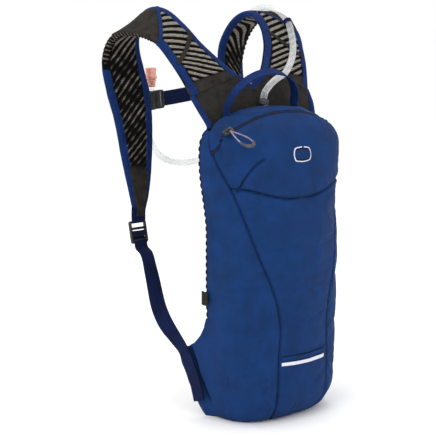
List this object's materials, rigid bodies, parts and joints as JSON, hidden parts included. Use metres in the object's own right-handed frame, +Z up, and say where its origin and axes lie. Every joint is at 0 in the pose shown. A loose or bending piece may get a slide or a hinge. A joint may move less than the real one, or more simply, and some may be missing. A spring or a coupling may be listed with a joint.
{
  "type": "hydration pack",
  "caption": "Slim hydration backpack with a curved padded harness, sternum strap, adjusters, zip, haul loop and a drinking tube with a bite valve.",
  "frame": {"origin": "middle of the flat base that the pack stands on, on the plane between the two shoulder straps", "axes": "+Z up along the pack, -Y out of the front, +Y towards the wearer, +X to the wearer's right as seen from the front of the pack"},
  "size_m": [0.2608, 0.2689, 0.5269],
  "materials": {
    "body_fabric": "woven nylon, matt",
    "navy_webbing": "woven polypropylene webbing",
    "blue_binding": "grosgrain binding",
    "charcoal_fabric": "brushed knit",
    "mesh_foam": "spacer mesh over slit foam",
    "lining": "coated lining fabric",
    "black_acetal": "moulded acetal",
    "reflective": "glass-bead reflective tape",
    "clear_tube": "clear polyurethane",
    "silicone": "translucent silicone",
    "grey_rubber": "moulded rubber"
  },
  "bodies": {
    "pack": {"front_panel": "body_fabric", "pocket_panel": "body_fabric", "top_panel": "body_fabric", "side_panel_left": "body_fabric", "side_panel_right": "body_fabric", "wing_left": "body_fabric", "wing_right": "body_fabric", "base_panel": "body_fabric", "light_loop": "body_fabric", "adjuster_webbing_left": "navy_webbing", "adjuster_webbing_right": "navy_webbing", "end_tab_left": "navy_webbing", "end_tab_right": "navy_webbing", "reservoir_hanger": "navy_webbing", "zip_tape": "navy_webbing", "inner_binding_left": "blue_binding", "inner_binding_right": "blue_binding", "outer_binding_left": "blue_binding", "outer_binding_right": "blue_binding", "yoke_panel": "charcoal_fabric", "keeper_band_left": "charcoal_fabric", "keeper_band_right": "charcoal_fabric", "back_foam": "mesh_foam", "back_mesh": "mesh_foam", "shoulder_pad_left": "mesh_foam", "shoulder_pad_right": "mesh_foam", "divider_sleeve": "lining", "zip_chain": "black_acetal", "side_label": "black_acetal", "sternum_rail_left": "black_acetal", "sternum_rail_right": "black_acetal", "keeper_ring": "black_acetal", "hose_magnet_clip": "black_acetal", "key_clip": "black_acetal", "reflective_strip": "reflective", "badge": "reflective", "hose": "clear_tube", "inner_hose": "clear_tube", "reservoir": "clear_tube", "bite_valve_body": "silicone", "hose_port": "grey_rubber", "outlet_elbow": "grey_rubber"},
    "zip_slider": {"zip_slider": "black_acetal"},
    "zip_pull": {"zip_pull_cord": "grey_rubber", "zip_pull_grip": "grey_rubber"},
    "haul": {"haul_loop": "blue_binding"},
    "sternum": {"sternum_slider_left": "black_acetal", "sternum_slider_right": "black_acetal", "sternum_webbing_right": "navy_webbing", "buckle_socket": "black_acetal", "buckle_plug": "black_acetal", "buckle_magnet": "black_acetal"},
    "prong_upper": {"buckle_prong_upper": "black_acetal"},
    "prong_lower": {"buckle_prong_lower": "black_acetal"},
    "lock_left": {"ladder_lock_left": "black_acetal"},
    "lock_right": {"ladder_lock_right": "black_acetal"},
    "valve_tip": {"bite_valve_tip": "silicone"},
    "button": {"quick_connect_button": "black_acetal"},
    "seal": {"slide_seal_bar": "black_acetal"},
    "key_hook": {"key_hook": "black_acetal"}
  },
  "joints": [
    {"name": "zip_travel", "type": "hinge", "parent": "pack", "child": "zip_slider", "pos_m": [0, 0.07294, 0.23075], "axis": [0, 0.9014, 0.433], "range_deg": [0, 62]},
    {"name": "pull_lift", "type": "hinge", "parent": "zip_slider", "child": "zip_pull", "pos_m": [-0.09703, -0.00119, 0.37502], "axis": [-0.9426, -0.2672, -0.2004], "range_deg": [0, 100]},
    {"name": "haul_flop", "type": "hinge", "parent": "pack", "child": "haul", "pos_m": [0, 0.04, 0.396], "axis": [1, 0, 0], "range_deg": [-12, 40]},
    {"name": "sternum_slide", "type": "slide", "parent": "pack", "child": "sternum", "axis": [0, 0.28, 0.96], "range_m": [-0.032, 0]},
    {"name": "prong_upper_squeeze", "type": "slide", "parent": "sternum", "child": "prong_upper", "axis": [0.0896, 0, -0.996], "range_m": [0, 0.0025], "stiffness_N_per_m": 900},
    {"name": "prong_lower_squeeze", "type": "slide", "parent": "sternum", "child": "prong_lower", "axis": [-0.0896, 0, 0.996], "range_m": [0, 0.0025], "stiffness_N_per_m": 900},
    {"name": "lock_left_tilt", "type": "hinge", "parent": "pack", "child": "lock_left", "pos_m": [-0.104, 0.1724, 0.2419], "axis": [1, 0, 0], "range_deg": [0, 35]},
    {"name": "lock_right_tilt", "type": "hinge", "parent": "pack", "child": "lock_right", "pos_m": [0.104, 0.1724, 0.2419], "axis": [1, 0, 0], "range_deg": [0, 35]},
    {"name": "valve_twist", "type": "hinge", "parent": "pack", "child": "valve_tip", "pos_m": [-0.041, 0.2195, 0.43], "axis": [0, 0, 1], "range_deg": [0, 90]},
    {"name": "button_press", "type": "slide", "parent": "pack", "child": "button", "axis": [0, 1, 0], "range_m": [0, 0.0015], "stiffness_N_per_m": 800},
    {"name": "seal_slide", "type": "slide", "parent": "pack", "child": "seal", "axis": [1, 0, 0], "range_m": [0, 0.022]},
    {"name": "key_swing", "type": "hinge", "parent": "pack", "child": "key_hook", "pos_m": [0.03, -0.0185, 0.258], "axis": [0, 1, 0], "range_deg": [-45, 45]}
  ],
  "couplings": [
    {"joint": "prong_lower_squeeze", "follows": "prong_upper_squeeze", "ratio": 1}
  ]
}
